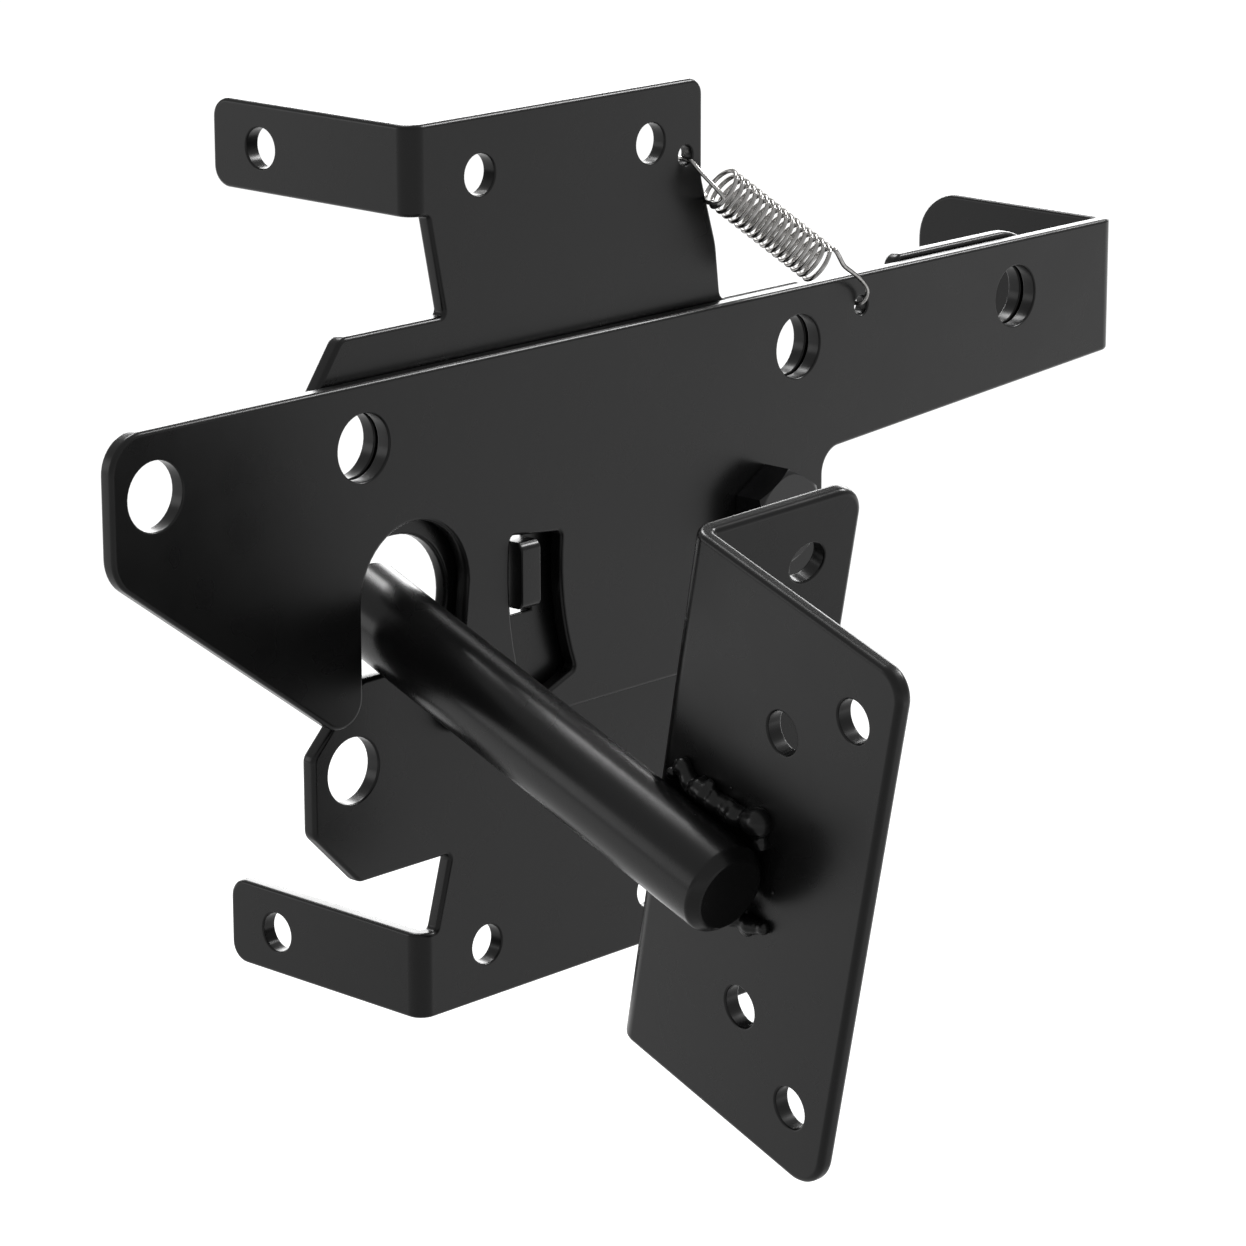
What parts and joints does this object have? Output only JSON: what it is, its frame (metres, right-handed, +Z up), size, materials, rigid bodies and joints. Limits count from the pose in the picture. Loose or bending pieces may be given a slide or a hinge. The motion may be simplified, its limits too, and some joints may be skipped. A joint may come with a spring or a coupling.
{
  "type": "self-locking gate latch with strike",
  "caption": "Gate latch: slotted post plate with folded wings, pivoting sprung lever with handle, nose and thumb tab, and an L-shaped gate bracket with a welded round bar.",
  "frame": {"origin": "centre of the base plate's four post screw holes, on the plate's back face", "axes": "+X along the lever towards the thumb tab, +Y from the plate's back face into the post, +Z up"},
  "size_m": [0.2161, 0.1426, 0.1349],
  "materials": {
    "powder_coat": "smooth semi-gloss black powder coat",
    "black_steel": "black oxide",
    "plain_steel": "turned",
    "spring_wire": "bright drawn stainless",
    "nylon": "natural"
  },
  "bodies": {
    "base": {"base_plate": "powder_coat", "pivot_bolt": "black_steel", "pivot_bush": "plain_steel", "pivot_spacer": "nylon", "pivot_washer": "black_steel", "pivot_nut": "black_steel", "pivot_nut_ring": "nylon", "return_spring": "spring_wire", "strike_bracket": "powder_coat", "strike_bar": "powder_coat", "strike_weld_upper": "powder_coat", "strike_weld_lower": "powder_coat"},
    "lever": {"latch_lever": "powder_coat"}
  },
  "joints": [
    {"name": "lever_pivot", "type": "hinge", "parent": "base", "child": "lever", "pos_m": [0.0397, -0.00425, -0.0017], "axis": [0, 1, 0], "range_deg": [0, 15], "stiffness_Nm_per_rad": 0.9, "springref_deg": -34.38, "deforming": ["return_spring"]}
  ]
}
